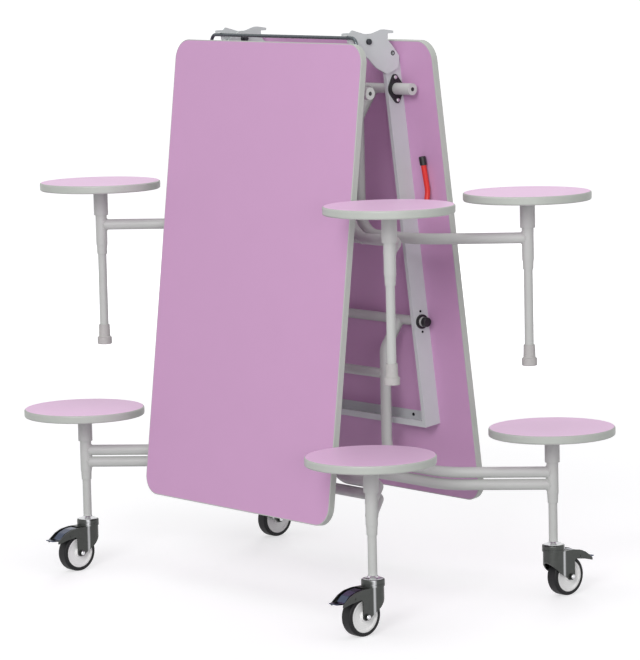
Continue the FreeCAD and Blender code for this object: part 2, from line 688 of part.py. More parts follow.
def upright_path(side):
    """Down and inward from the pivot, straight down, then outward along the run and out to the post."""
    x = FRAME_SHIFT + side * UPRIGHT_HALF
    pivot = V(x, 0, PIVOT_HEIGHT)
    bend = V(x, -RUN_INSET, PIVOT_HEIGHT - SWAN_DROP)
    start = pivot + (bend - pivot).normalize() * UPRIGHT_START
    return [start, bend, V(x, -RUN_INSET, ARM_HEIGHT)] + arm_points(side, ARM_HEIGHT)


def upright(side, inner):
    radii = [SWAN_RADIUS, KNEE_RADIUS, ELBOW_RADIUS]
    return bent_tube(upright_path(side), radii, FRAME_RADIUS, inner)


def socket(side):
    """Sleeve on the frame that a leg passes through, narrowed at its lower end."""
    step_start = SOCKET_TAPER_TOP - SOCKET_STEP
    profile = [
        (0, SOCKET_BOTTOM), (SOCKET_LOW_RADIUS, SOCKET_BOTTOM), (SOCKET_LOW_RADIUS + 0.6, step_start),
        (SOCKET_RADIUS, SOCKET_TAPER_TOP), (SOCKET_RADIUS, COLLAR_BOTTOM), (0, COLLAR_BOTTOM),
    ]
    return turned(profile, V(side * POST_X, POST_OUT, 0), Z_AXIS)


def leg_bore(side):
    foot = V(side * POST_X, POST_OUT, SOCKET_BOTTOM - 1)
    return bar(LEG_RADIUS, foot, foot + V(0, 0, COLLAR_BOTTOM - SOCKET_BOTTOM + 2))


def pivot_tube(half, shift):
    start, end = V(shift - half, 0, PIVOT_HEIGHT), V(shift + half, 0, PIVOT_HEIGHT)
    return bar(PIVOT_RADIUS, start, end), bar(PIVOT_RADIUS - TUBE_WALL, start, end)


def outer_sleeve(side):
    """Sleeve over the end of an upper pivot tube, outside the bush."""
    near = side * (RAIL_X + BUSH_FLANGE + SIDE_CLEARANCE)
    far = FRAME_SHIFT + side * UPPER_TUBE_HALF
    return pipe(SLEEVE_RADIUS, PIVOT_RADIUS, V(near, 0, PIVOT_HEIGHT), V(far, 0, PIVOT_HEIGHT))


def tube_plug(side):
    """Ring-shaped plug in the end of an upper pivot tube."""
    end = V(FRAME_SHIFT + side * UPPER_TUBE_HALF, 0, PIVOT_HEIGHT)
    return pipe(PIVOT_RADIUS - TUBE_WALL, TUBE_PLUG_HOLE, end - V(side * TUBE_PLUG, 0, 0), end)


def cross_tube(height):
    """Straight tube from one upright to the other, before it is fitted to them."""
    reach = UPRIGHT_HALF + (KNEE_RADIUS if height <= ARM_HEIGHT else 0)
    start = V(FRAME_SHIFT - reach, -RUN_INSET, height)
    end = V(FRAME_SHIFT + reach, -RUN_INSET, height)
    return pipe(CROSS_RADIUS, CROSS_RADIUS - TUBE_WALL, start, end)


def stacked_tube():
    """Second arm tube under the first, from post to post in one length."""
    height = ARM_HEIGHT - STACK_PITCH
    left = arm_points(-1, height)[::-1]
    points = left + arm_points(1, height)
    return bent_tube(points, [ELBOW_RADIUS] * 2, FRAME_RADIUS, FRAME_RADIUS - TUBE_WALL)


def welded_frame(tube_half, tube_shift, cross_heights, extra):
    """Pivot tube, two bent uprights with their arms, cross tubes and the sockets of the posts."""
    outside, inside = pivot_tube(tube_half, tube_shift)
    sockets = [socket(side) for side in SIDES.values()]
    solid_uprights = [upright(side, 0) for side in SIDES.values()]
    uprights = [upright(side, FRAME_RADIUS - TUBE_WALL) for side in SIDES.values()]
    crosses = [cross_tube(height).cut(solid_uprights[0]).cut(solid_uprights[1]) for height in cross_heights]
    arms = []
    for tube in uprights + extra:
        arms.append(tube.cut(outside).cut(sockets[0]).cut(sockets[1]))
    frame = outside.cut(inside)
    for piece in arms + crosses + sockets:
        frame = frame.fuse(piece)
    for side in SIDES.values():
        frame = frame.cut(leg_bore(side))
    return frame


def lower_frame():
    return [welded_frame(LOWER_TUBE_HALF, 0, [SECOND_CROSS_HEIGHT], [stacked_tube()])]


def upper_frame():
    sleeves = [outer_sleeve(side) for side in SIDES.values()]
    plugs = [tube_plug(side) for side in SIDES.values()]
    return [welded_frame(UPPER_TUBE_HALF, FRAME_SHIFT, [ARM_HEIGHT], [])] + sleeves + plugs


def end_caps():
    """Black caps over the ends of a lower pivot tube."""
    start = V(LOWER_TUBE_HALF, 0, PIVOT_HEIGHT)
    plug = bar(PIVOT_RADIUS - TUBE_WALL, start - V(END_CAP_PLUG, 0, 0), start)
    head = bar(PIVOT_RADIUS, start, start + V(END_CAP_LENGTH, 0, 0))
    head = rounded(head, END_CAP_ROUNDING, lambda edge: edge.BoundBox.XMin > start.x + 1)
    return pair(plug.fuse(head))


def seat_board(side):
    base = V(side * POST_X, POST_OUT, SEAT_UNDERSIDE)
    return bar(SEAT_RADIUS - SEAT_BAND, base, base + V(0, 0, SEAT_THICK))


def seat_edge(side):
    base = V(side * POST_X, POST_OUT, SEAT_UNDERSIDE)
    blank = bar(SEAT_RADIUS, base, base + V(0, 0, SEAT_THICK))
    blank = rounded(blank, SEAT_ROUNDING, lambda edge: edge.BoundBox.ZLength < 0.01)
    return blank.cut(seat_board(side))


def seat_mount(side):
    """Round plate under the seat with the collar that drops over the leg."""
    low = SEAT_UNDERSIDE - MOUNT_THICK
    profile = [
        (0, COLLAR_BOTTOM), (COLLAR_RADIUS, COLLAR_BOTTOM), (COLLAR_RADIUS, low),
        (MOUNT_RADIUS, low), (MOUNT_RADIUS, SEAT_UNDERSIDE), (0, SEAT_UNDERSIDE),
    ]
    body = turned(profile, V(side * POST_X, POST_OUT, 0), Z_AXIS)
    foot = V(side * POST_X, POST_OUT, COLLAR_BOTTOM - 1)
    return body.cut(bar(LEG_RADIUS, foot, foot + V(0, 0, low - COLLAR_BOTTOM)))


def leg(side, bottom):
    """Thin tube from the castor or the rubber foot up into the collar."""
    start = V(side * POST_X, POST_OUT, bottom)
    end = V(side * POST_X, POST_OUT, SEAT_UNDERSIDE - MOUNT_THICK - LEG_GAP)
    return pipe(LEG_RADIUS, LEG_RADIUS - LEG_WALL, start, end)


def castor_stem(side):
    """Stem fixed in the leg, with the rivet under the fork that the fork hangs on."""
    bore = LEG_RADIUS - LEG_WALL
    rivet_top = FORK_TOP - FORK_WALL - SIDE_CLEARANCE
    rivet_low = rivet_top - RIVET_THICK
    low = CASTOR_HEIGHT + SIDE_CLEARANCE
    rivet = [(0, rivet_low), (RIVET_RADIUS, rivet_low), (RIVET_RADIUS, rivet_top)]
    stem = [(STEM_RADIUS, rivet_top), (STEM_RADIUS, low), (bore, low)]
    profile = rivet + stem + [(bore, low + STEM_HEIGHT), (0, low + STEM_HEIGHT)]
    return turned(profile, V(side * POST_X, POST_OUT, 0), Z_AXIS)


def ferrule(side):
    """Rubber foot over the end of an upper leg."""
    top = FOOT_LIFT + FOOT_HEIGHT
    band = FOOT_LIFT + FOOT_BAND
    profile = [
        (0, FOOT_LIFT), (FOOT_RADIUS - 1.5, FOOT_LIFT), (FOOT_RADIUS, FOOT_LIFT + 1.5),
        (FOOT_RADIUS, band - 2), (FOOT_NECK + 1, band), (FOOT_NECK, band + 2), (FOOT_NECK - 0.8, top),
        (0, top),
    ]
    body = turned(profile, V(side * POST_X, POST_OUT, 0), Z_AXIS)
    seat = V(side * POST_X, POST_OUT, FOOT_LIFT + FOOT_SOLE)
    return body.cut(bar(LEG_RADIUS, seat, seat + V(0, 0, FOOT_HEIGHT)))


def make_frames():
    """Writes both levels of seat frames with what each carries."""
    low_leg = CASTOR_HEIGHT + SIDE_CLEARANCE
    high_leg = FOOT_LIFT + FOOT_SOLE
    levels = {
        "lower": (lower_frame(), low_leg, V(0, LOWER_PIVOT_Y, 0)),
        "upper": (upper_frame(), high_leg, V(0, UPPER_PIVOT_Y, RISE)),
    }
    for level, (frame, leg_bottom, offset) in levels.items():
        export_both(f"{level}_frame", [moved(solid, offset) for solid in frame])
        mounts = [moved(seat_mount(side), offset) for side in SIDES.values()]
        export_both(f"{level}_seat_mounts", mounts)
        edges = [moved(seat_edge(side), offset) for side in SIDES.values()]
        export_both(f"{level}_seat_edges", edges)
        legs = [leg(side, leg_bottom) for side in SIDES.values()]
        if level == "lower":
            legs += [castor_stem(side) for side in SIDES.values()]
        export_both(f"{level}_legs", [moved(solid, offset) for solid in legs])
        for name, side in SIDES.items():
            export_twins(f"{level}_", name, "seat", [moved(seat_board(side), offset)])
    export_both("lower_end_caps", [moved(cap, levels["lower"][2]) for cap in end_caps()])
    feet = [moved(ferrule(side), levels["upper"][2]) for side in SIDES.values()]
    export_both("upper_rubber_feet", feet)


# ---- castors, drawn with the leg's axis at the origin and the wheel trailing towards +Y ----

def fork_profile():
    """Side view of the fork: a leg down to the axle and a wing back over the wheel."""
    nose = -FORK_RADIUS - FORK_NOSE
    foot = WHEEL_RADIUS - FORK_FOOT
    front = [(nose, FORK_TOP), (nose, FORK_TOP - 26), (-3, WHEEL_RADIUS + 16)]
    leg_end = [(CASTOR_TRAIL - 13, WHEEL_RADIUS - 3), (CASTOR_TRAIL - 8, foot), (CASTOR_TRAIL + 12, foot)]
    under = [(CASTOR_TRAIL + 12, PEDAL_PIN_HEIGHT - 4)]
    under += [(PEDAL_PIN_BACK + y, PEDAL_PIN_HEIGHT + z) for y, z in ((13, -9), (41, -16))]
    over = [(PEDAL_PIN_BACK + y, PEDAL_PIN_HEIGHT + z) for y, z in ((40, -9), (18, 8), (0, 16))]
    points = front + leg_end + under + over + [(CASTOR_TRAIL + 8, FORK_TOP)]
    radii = [0, 12, 20, 8, 8, 9, 6, 20, 1.5, 4, 22, 40, 20]
    return [V(-2 * FORK_RADIUS, y, z) for y, z in points], radii


def fork_shell():
    """U-shaped shell with a round front, closed on top and open to the back."""
    back = PEDAL_PIN_BACK + 2 * FORK_RADIUS
    low = WHEEL_RADIUS / 2
    nose = -FORK_NOSE
    inner = FORK_RADIUS - FORK_WALL
    roof = FORK_TOP - FORK_WALL
    outer = bar(FORK_RADIUS, V(0, nose, low), V(0, nose, FORK_TOP))
    outer = outer.fuse(block(V(-FORK_RADIUS, nose, low), V(FORK_RADIUS, back, FORK_TOP)))
    round_part = bar(inner, V(0, nose, low), V(0, nose, roof))
    hollow = round_part.fuse(block(V(-inner, nose, low), V(inner, back, roof)))
    slot = block(V(-inner, CASTOR_TRAIL - 2, low), V(inner, back, FORK_TOP))
    return outer.cut(hollow).cut(slot)


def axle():
    """Bolt across the fork with a nut on each side."""
    reach = FORK_RADIUS + AXLE_NUT_HEIGHT
    end = V(reach + AXLE_POINT, CASTOR_TRAIL, WHEEL_RADIUS)
    shank = bar(AXLE_RADIUS, V(-end.x, end.y, end.z), end)
    starts = [V(x, CASTOR_TRAIL, WHEEL_RADIUS) for x in (-reach, FORK_RADIUS)]
    return shank.multiFuse([hex_prism(AXLE_NUT, start, AXLE_NUT_HEIGHT) for start in starts])


def castor_fork():
    """Pressed fork with its swivel head, bored for the stem, and the axle across it."""
    points, radii = fork_profile()
    shell = fork_shell().common(plate(points, radii, V(4 * FORK_RADIUS, 0, 0)))
    head = bar(HEAD_RADIUS, V(0, 0, FORK_TOP), V(0, 0, CASTOR_HEIGHT))
    head = rounded(head, HEAD_ROUNDING, lambda edge: edge.BoundBox.ZMin > CASTOR_HEIGHT - 1)
    groove = pipe(HEAD_RADIUS + 1, HEAD_RADIUS - 1.5, V(0, 0, FORK_TOP + 5), V(0, 0, FORK_TOP + 7))
    body = shell.fuse(head.cut(groove))
    body = body.cut(bar(STEM_RADIUS + RUNNING_FIT, V(0, 0, FORK_TOP - 10), V(0, 0, CASTOR_HEIGHT + 1)))
    pin_start = V(-FORK_RADIUS - 1, PEDAL_PIN_BACK, PEDAL_PIN_HEIGHT)
    pin_end = V(FORK_RADIUS + 1, PEDAL_PIN_BACK, PEDAL_PIN_HEIGHT)
    pin = bar(PEDAL_PIN_RADIUS, pin_start, pin_end)
    return [body.cut(axle()).cut(pin), axle(), pin]


def wheel_axis_turned(profile):
    """Solid turned round the wheel's axle, from (radius, distance along the axle) points."""
    return turned(profile, V(0, CASTOR_TRAIL, WHEEL_RADIUS), X_AXIS)


def wheel_hub():
    rim = WHEEL_RADIUS - TYRE_DEPTH
    bore = AXLE_RADIUS + RUNNING_FIT
    boss = [(bore, HUB_BOSS_HALF), (HUB_BOSS_RADIUS, HUB_BOSS_HALF), (HUB_BOSS_RADIUS + 2, HUB_FACE_HALF - 1)]
    inner = rim - HUB_RIM
    half = boss + [(inner - 2, HUB_FACE_HALF), (inner, TYRE_HALF - 1), (rim, TYRE_HALF - 1)]
    other = [(radius, -along) for radius, along in reversed(half)]
    return wheel_axis_turned(half + other)


def wheel_tyre():
    outer, inner = WHEEL_RADIUS, WHEEL_RADIUS - TYRE_DEPTH
    profile = [(inner, -TYRE_HALF), (outer, -TYRE_HALF), (outer, TYRE_HALF), (inner, TYRE_HALF)]
    ring = wheel_axis_turned(profile)
    return rounded(ring, TYRE_ROUNDING, lambda edge: abs(edge.BoundBox.ZMax - 2 * WHEEL_RADIUS) < 0.1)


def brake_pedal():
    """Arched foot pedal on its pin between the fork's wings, with a cam over the tyre."""
    top = [(-28, 18.5), (-8, 16.5), (14, 8), (30, -7), (54, -6)]
    under = [(55, -8.5), (28, -7 - PEDAL_THICK), (9, 4)]
    cam = [(6, -5), (-5, -6), (-8, 2), (-10, 12), (-28, 18.5 - PEDAL_THICK)]
    points = [V(-PEDAL_HALF, PEDAL_PIN_BACK + y, PEDAL_PIN_HEIGHT + z) for y, z in top + under + cam]
    body = plate(points, [1, 20, 20, 8, 1, 1, 8, 3, 4, 3, 4, 6, 1], V(2 * PEDAL_HALF, 0, 0))
    start = V(-2 * PEDAL_HALF, PEDAL_PIN_BACK, PEDAL_PIN_HEIGHT)
    return body.cut(bar(PEDAL_PIN_RADIUS + RUNNING_FIT, start, start + V(4 * PEDAL_HALF, 0, 0)))


def make_castors():
    pieces = {
        "castor_fork": castor_fork(),
        "castor_hub": [wheel_hub()],
        "castor_tyre": [wheel_tyre()],
        "castor_pedal": [brake_pedal()],
    }
    for name, side in SIDES.items():
        offset = V(side * POST_X, LOWER_PIVOT_Y + POST_OUT, 0)
        for piece, solids in pieces.items():
            export_twins("", name, piece, [moved(solid, offset) for solid in solids])


os.makedirs("parts", exist_ok=True)
make_panels()
make_rails()
make_bushes()
make_hinge()
make_latch()
make_lever()
make_frames()
make_castors()
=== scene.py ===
import json
import math

import bmesh
import bpy
from bpy.props import FloatProperty, FloatVectorProperty, PointerProperty
from bpy.types import Operator, Panel, PropertyGroup
from mathutils import Matrix, Vector


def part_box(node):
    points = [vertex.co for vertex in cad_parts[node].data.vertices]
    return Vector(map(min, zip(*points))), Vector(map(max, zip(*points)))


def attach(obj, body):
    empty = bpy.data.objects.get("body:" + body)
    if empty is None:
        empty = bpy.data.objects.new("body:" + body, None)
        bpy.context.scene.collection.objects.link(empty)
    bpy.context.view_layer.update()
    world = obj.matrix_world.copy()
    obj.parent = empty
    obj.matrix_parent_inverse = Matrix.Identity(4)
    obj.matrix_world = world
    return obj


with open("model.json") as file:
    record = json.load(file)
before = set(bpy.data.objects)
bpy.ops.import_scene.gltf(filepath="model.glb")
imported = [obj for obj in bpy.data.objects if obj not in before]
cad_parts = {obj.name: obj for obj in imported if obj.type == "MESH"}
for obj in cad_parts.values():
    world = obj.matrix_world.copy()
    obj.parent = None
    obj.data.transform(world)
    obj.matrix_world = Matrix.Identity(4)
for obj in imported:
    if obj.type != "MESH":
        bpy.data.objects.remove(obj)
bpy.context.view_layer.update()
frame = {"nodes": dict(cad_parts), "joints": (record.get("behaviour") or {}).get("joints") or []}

bl_info = {
    "name": "Folding Stool Table",
    "version": (1, 0, 0),
    "blender": (4, 5, 0),
    "location": "View3D > Sidebar > Stool Table",
    "description": "Finishes and fine parts of a mobile folding table with round stool seats",
    "category": "Object",
}

JOINTS = {joint["name"]: joint for joint in frame["joints"]}
MM = 0.001
ENDS = ("front", "rear")
LEVELS = ("lower", "upper")
SIDES = ("left", "right")
WHITE = (1, 1, 1, 1)


# ---- places and sizes of the fine parts ----

# Tubes of the seat frames.
TUBE_RADIUS = 14 * MM
CROSS_RADIUS = 12.5 * MM
PIVOT_RADIUS = 12.5 * MM
SOCKET_RADIUS = 15 * MM
KNEE_BEND = 65 * MM

# Places on a seat frame of the rear half, from the middle of its pivot tube.
UPRIGHTS_X = {-1: -216 * MM, 1: 166 * MM}
UPRIGHT_BEND = Vector((0, -52, -72)) * MM
RUN_Y = -52 * MM
ARM_Z = -368.5 * MM
STACKED_ARM_Z = -400 * MM
SECOND_CROSS_Z = -137 * MM
POST_X = 584 * MM
POST_Y = 136.4 * MM
TUBE_MIDDLE_X = -25 * MM
UPPER_TUBE_HALF = 341 * MM

# Weld beads: points and ripples along a seam, the ripples' share of the width, points round the bead.
SEAM_STEPS = 54
WELD_RIPPLES = 18
RIPPLE_SHARE = 0.15
BEAD_STEPS = 8

# The centre hinge lies this far in from a panel's top face and this far beyond its hinge-side edge.
HINGE_DROP = 119 * MM
HINGE_SETBACK = 13 * MM

# Places on the rear panel: across from its middle, down from its hinge-side edge, in from its top face.
RAIL_SCREWS = [
    (side * 237.5 * MM, down * MM, 21 * MM) for side in (-1, 1) for down in (190, 420, 610, 860)]
CROSS_SCREWS = [(side * 152.6 * MM, 983.5 * MM, 21 * MM) for side in (-1, 1)]
BUSH_RING_SCREWS = (696 * MM, 750 * MM)
PIVOT_DEPTH = 43 * MM
RAIL_FACE = 250 * MM
PLATE_FACE = 256 * MM
PLATE_HOLE_DOWN = 28 * MM

# Screws, bungs, and dark rings that paint the shade in the hinge plates' holes.
SEAT_SCREW_CIRCLE = 50 * MM
SEAT_PLATE_THICKNESS = 4 * MM
SEAT_SCREW_RADIUS = 4.5 * MM
RAIL_SCREW_RADIUS = 4 * MM
CROSS_SCREW_RADIUS = 4.4 * MM
SCREW_HEAD_HEIGHT = 2.4 * MM
RING_SCREW_RADIUS = 3.2 * MM
RING_SCREW_HEIGHT = 1.8 * MM
HOLE_SHADE_RADIUS = 5.2 * MM
HOLE_SHADE_WIDTH = 2.2 * MM
BUNG_RADIUS = 5.2 * MM
BUNG_HEIGHT = 0.9 * MM

# Castors: race cover on the head, and cap nuts at this distance from the wheel's middle.
RACE_COVER_RADIUS = 26 * MM
RACE_COVER_HEIGHT = 7 * MM
NUT_FACE = 29 * MM
CAP_NUT_RADIUS = 6 * MM
CAP_NUT_HEIGHT = 3.4 * MM

# A painted highlight along each fork's bend, standing in for a lamp's reflection: its place and half
# its width, as shares of the fork's length from the end nearest the table's middle.
FORK_BEND = 0.31
FORK_HIGHLIGHT_WIDTH = 0.045

# Profiles of turned forms, in rows of radius and height as shares of the whole, and the row's shape.
ROUND, HEXAGON = False, True
TURNED_STEPS = 24
SOCKET_SCREW = [
    (1.0, 0.0, ROUND), (1.0, 0.35, ROUND), (0.93, 0.7, ROUND), (0.76, 0.93, ROUND), (0.56, 1.0, ROUND),
    (0.46, 0.97, HEXAGON), (0.44, 0.35, HEXAGON)]
DOME = [
    (1.0, 0.0, ROUND), (1.0, 0.2, ROUND), (0.87, 0.6, ROUND), (0.6, 0.9, ROUND), (0.25, 1.0, ROUND)]
RACE_COVER = [
    (1.0, 0.0, ROUND), (0.98, 0.12, ROUND), (0.8, 0.34, ROUND), (0.58, 0.6, ROUND), (0.48, 1.0, ROUND)]
SHARP_ANGLE = math.radians(40)

# Stage: metres for the floor and the camera's place, degrees for its angles, millimetres for its sensor.
FLOOR_HALF = 90
CAMERA_PLACE = (6.69928, -5.54413, 1.7605)
CAMERA_TURN = 50.21
CAMERA_PITCH = -7.2
CAMERA_ROLL = -1.26
CAMERA_REACH = 200
SENSOR_WIDTH = 36


def linear(code):
    """sRGB hex to the linear colour that Blender's sockets take."""
    channels = [int(code[i:i + 2], 16) / 255 for i in (1, 3, 5)]
    return [c / 12.92 if c <= 0.04045 else ((c + 0.055) / 1.055) ** 2.4 for c in channels]


def rgba(colour):
    return (*colour, 1.0)


# ---- sizes and colours a user would change ----

class LaminateSettings(PropertyGroup):
    table_colour: FloatVectorProperty(
        name="Table laminate", description="Colour of the table panels' laminate",
        subtype="COLOR", size=3, min=0, max=1, default=linear("#D3A4CD"))
    # The seat laminate is the table's lilac made paler: painted light for the seats' upward tops, which
    # catch more light.
    seat_lit_colour: FloatVectorProperty(
        name="Seat laminate", description="Colour of the seat boards' laminate",
        subtype="COLOR", size=3, min=0, max=1, default=linear("#F3CCEE"))
    lipping_colour: FloatVectorProperty(
        name="Edge lipping", description="Colour of the moulded band round the panels and seats",
        subtype="COLOR", size=3, min=0, max=1, default=linear("#BCC0BA"))


class PaintSettings(PropertyGroup):
    tube_colour: FloatVectorProperty(
        name="Tube paint", description="Powder coat on the bent tubes",
        subtype="COLOR", size=3, min=0, max=1, default=linear("#C6C8C5"))
    rail_colour: FloatVectorProperty(
        name="Rail paint", description="Powder coat on the folded rails and hinge plates",
        subtype="COLOR", size=3, min=0, max=1, default=linear("#D0D5D5"))
    lever_colour: FloatVectorProperty(
        name="Lever paint", description="Colour of the release lever",
        subtype="COLOR", size=3, min=0, max=1, default=linear("#DE3A36"))
    weld_width: FloatProperty(
        name="Weld width", description="Width of a fillet weld between two tubes",
        subtype="DISTANCE", unit="LENGTH", min=0.001, max=0.01, default=4.5 * MM)


class CastorSettings(PropertyGroup):
    # The zinc is darkened far below bright plate: painted shade standing in for the dark room the forks
    # mirror.
    zinc_shaded_colour: FloatVectorProperty(
        name="Zinc plate", description="Reflected colour of the castors' plated forks",
        subtype="COLOR", size=3, min=0, max=1, default=linear("#505250"))
    hub_colour: FloatVectorProperty(
        name="Wheel hub", description="Colour of the moulded wheel hubs",
        subtype="COLOR", size=3, min=0, max=1, default=linear("#FAFAF9"))
    tread_pitch: FloatProperty(
        name="Mould line pitch", description="Distance between the fine rings on a tyre's side",
        subtype="DISTANCE", unit="LENGTH", min=0.0005, max=0.01, default=2.5 * MM)


class StageSettings(PropertyGroup):
    floor_colour: FloatVectorProperty(
        name="Floor", description="Colour of the pale floor",
        subtype="COLOR", size=3, min=0, max=1, default=linear("#C8C8CA"))
    key_power: FloatProperty(
        name="Key light", description="Power of the large soft lamp in front",
        subtype="POWER", unit="POWER", min=0, default=395)
    front_power: FloatProperty(
        name="Front light", description="Power of the lamp at eye height",
        subtype="POWER", unit="POWER", min=0, default=95)
    back_power: FloatProperty(
        name="Back light", description="Power of the large soft lamp behind",
        subtype="POWER", unit="POWER", min=0, default=230)
    top_power: FloatProperty(
        name="Top light", description="Power of the soft lamp overhead",
        subtype="POWER", unit="POWER", min=0, default=45)
    room_light: FloatProperty(
        name="Room light", description="Strength of the even light all round", min=0, default=0.38)
    lens: FloatProperty(
        name="Lens", description="Focal length of the camera in millimetres",
        unit="CAMERA", min=10, default=184.94)


# ---- materials ----

def add(owner, kind, inputs=None, **settings):
    """Adds a node to a material or world, sets it, and fills inputs with values or nodes' outputs."""
    tree = owner.node_tree
    node = tree.nodes.new(kind)
    for key, value in settings.items():
        setattr(node, key, value)
    for key, value in (inputs or {}).items():
        if isinstance(value, bpy.types.NodeSocket):
            tree.links.new(value, node.inputs[key])
        else:
            node.inputs[key].default_value = value
    return node


def surface(name, colour, roughness, **sockets):
    """New material with its main shader. Returns both."""
    material = bpy.data.materials.new(name)
    material.use_nodes = True
    material.node_tree.nodes.clear()
    values = {"Base Color": rgba(colour), "Roughness": roughness}
    values.update({key.replace("_", " "): value for key, value in sockets.items()})
    shader = add(material, "ShaderNodeBsdfPrincipled", values)
    add(material, "ShaderNodeOutputMaterial", {"Surface": shader.outputs["BSDF"]})
    return material, shader


def place(material):
    """Coordinates in metres that stay on the piece as it moves."""
    return add(material, "ShaderNodeTexCoord").outputs["Object"]


def blend_colours(material, shader, factor, first, second):
    """Colours the shader with a mix of two colours."""
    # A Mix node has one set of sockets per data type. Its colours are inputs 6 and 7 and output 2.
    mix = add(material, "ShaderNodeMix", {"Factor": factor, 6: first, 7: second}, data_type="RGBA")
    material.node_tree.links.new(mix.outputs[2], shader.inputs["Base Color"])


def speckled(material, shader, colour, pattern, dark, light):
    """Lets a pattern from 0 to 1 vary the colour between a darker and a lighter share of it."""
    low = [c * dark for c in colour]
    high = [min(1.0, c * light) for c in colour]
    blend_colours(material, shader, pattern, rgba(low), rgba(high))


def raised(material, shader, pattern, height):
    """Bump of a height in metres."""
    bump = add(material, "ShaderNodeBump", {"Height": pattern, "Distance": height, "Strength": 1.0})
    material.node_tree.links.new(bump.outputs["Normal"], shader.inputs["Normal"])


def varied(material, shader, pattern, low, high):
    """Roughness that drifts between two values."""
    spread = add(material, "ShaderNodeMapRange", {"Value": pattern, "To Min": low, "To Max": high})
    material.node_tree.links.new(spread.outputs["Result"], shader.inputs["Roughness"])


def noise(material, size, detail=2.0):
    """Noise whose blobs are about a size in metres across."""
    inputs = {"Vector": place(material), "Scale": 1 / size, "Detail": detail}
    return add(material, "ShaderNodeTexNoise", inputs).outputs["Fac"]


def laminate(name, colour):
    # Melamine laminate pressed on a suede plate: even colour, dull sheen, a fine pebble that breaks the
    # highlight. The pebble is 0.4 mm on the real sheet and is drawn at 2.2 mm so that it shows.
    material, shader = surface(name, colour, roughness=0.42, IOR=1.53, Specular_IOR_Level=0.25)
    speckled(material, shader, colour, noise(material, 90 * MM, 4), dark=0.985, light=1.015)
    varied(material, shader, noise(material, 25 * MM), low=0.38, high=0.48)
    raised(material, shader, noise(material, 2.2 * MM), height=0.03 * MM)
    return material


def moulded_edge(name, colour):
    # Polypropylene band moulded round the board: satin, with slight flow marks of 14 mm and 3 mm.
    material, shader = surface(name, colour, roughness=0.38, IOR=1.49)
    speckled(material, shader, colour, noise(material, 14 * MM, 3), dark=0.97, light=1.02)
    raised(material, shader, noise(material, 3 * MM), height=0.05 * MM)
    return material


def powder_coat(name, colour, roughness=0.42):
    # Polyester powder baked on steel: orange peel of about 2 mm, drawn at 4 mm, a broad soft highlight.
    material, shader = surface(name, colour, roughness, IOR=1.5, Specular_IOR_Level=0.3)
    speckled(material, shader, colour, noise(material, 40 * MM, 3), dark=0.975, light=1.02)
    varied(material, shader, noise(material, 12 * MM), low=roughness - 0.04, high=roughness + 0.06)
    raised(material, shader, noise(material, 4 * MM, 1), height=0.06 * MM)
    return material


def nylon(name, colour):
    # Glass-filled nylon from a spark-eroded mould: near black, a matt grain of 0.5 mm drawn at 1.2 mm.
    material, shader = surface(name, colour, roughness=0.4, IOR=1.53)
    speckled(material, shader, colour, noise(material, 6 * MM), dark=0.8, light=1.25)
    raised(material, shader, noise(material, 1.2 * MM), height=0.04 * MM)
    return material


def zinc(name, colour, roughness, drawing):
    # Zinc plate on steel: it mirrors the room, dulled by fine marks and a cloudy bloom of 9 mm. The marks
    # are 0.2 mm apart on the real part and are drawn at 1 mm. drawing is 1 for specks and less for
    # upright lines.
    mark_spacing = 1 * MM
    material, shader = surface(name, colour, roughness, Metallic=1.0)
    stretch = {0: place(material), 1: (1.0, 1.0, drawing)}
    stretched = add(material, "ShaderNodeVectorMath", stretch, operation="MULTIPLY").outputs[0]
    drawn = {"Vector": stretched, "Scale": 1 / mark_spacing, "Detail": 1.0}
    marks = add(material, "ShaderNodeTexNoise", drawn).outputs["Fac"]
    speckled(material, shader, colour, noise(material, 9 * MM, 3), dark=0.86, light=1.08)
    varied(material, shader, marks, low=roughness * 0.7, high=roughness * 1.5)
    raised(material, shader, marks, height=0.015 * MM)
    return material


def painted_bend_highlight(material, bend, width, colour):
    """Paints a highlight band into the plating's colour along the press bend, where a lamp's reflection
    would lie. bend and width are shares of the piece's length.
    """
    shader = material.node_tree.nodes["Principled BSDF"]
    box = add(material, "ShaderNodeTexCoord").outputs["Generated"]
    along = add(material, "ShaderNodeSeparateXYZ", {0: box}).outputs["Y"]
    offset = add(material, "ShaderNodeMath", {0: along, 1: bend}, operation="SUBTRACT").outputs[0]
    gap = add(material, "ShaderNodeMath", {0: offset}, operation="ABSOLUTE").outputs[0]
    fade = {"Value": gap, "From Max": width, "To Min": 1.0, "To Max": 0.0}
    highlight_share = add(material, "ShaderNodeMapRange", fade, interpolation_type="SMOOTHSTEP").outputs["Result"]
    plate = shader.inputs["Base Color"].links[0].from_socket
    blend_colours(material, shader, highlight_share, plate, rgba(colour))


def blackened_steel(name, colour, roughness):
    # Drawn rod with a black oxide skin: dark, half metallic, with a narrow bright line along it.
    material, shader = surface(name, colour, roughness, Metallic=0.75)
    speckled(material, shader, colour, noise(material, 8 * MM, 3), dark=0.8, light=1.3)
    varied(material, shader, noise(material, 5 * MM), low=roughness - 0.06, high=roughness + 0.08)
    raised(material, shader, noise(material, 1.5 * MM), height=0.02 * MM)
    return material


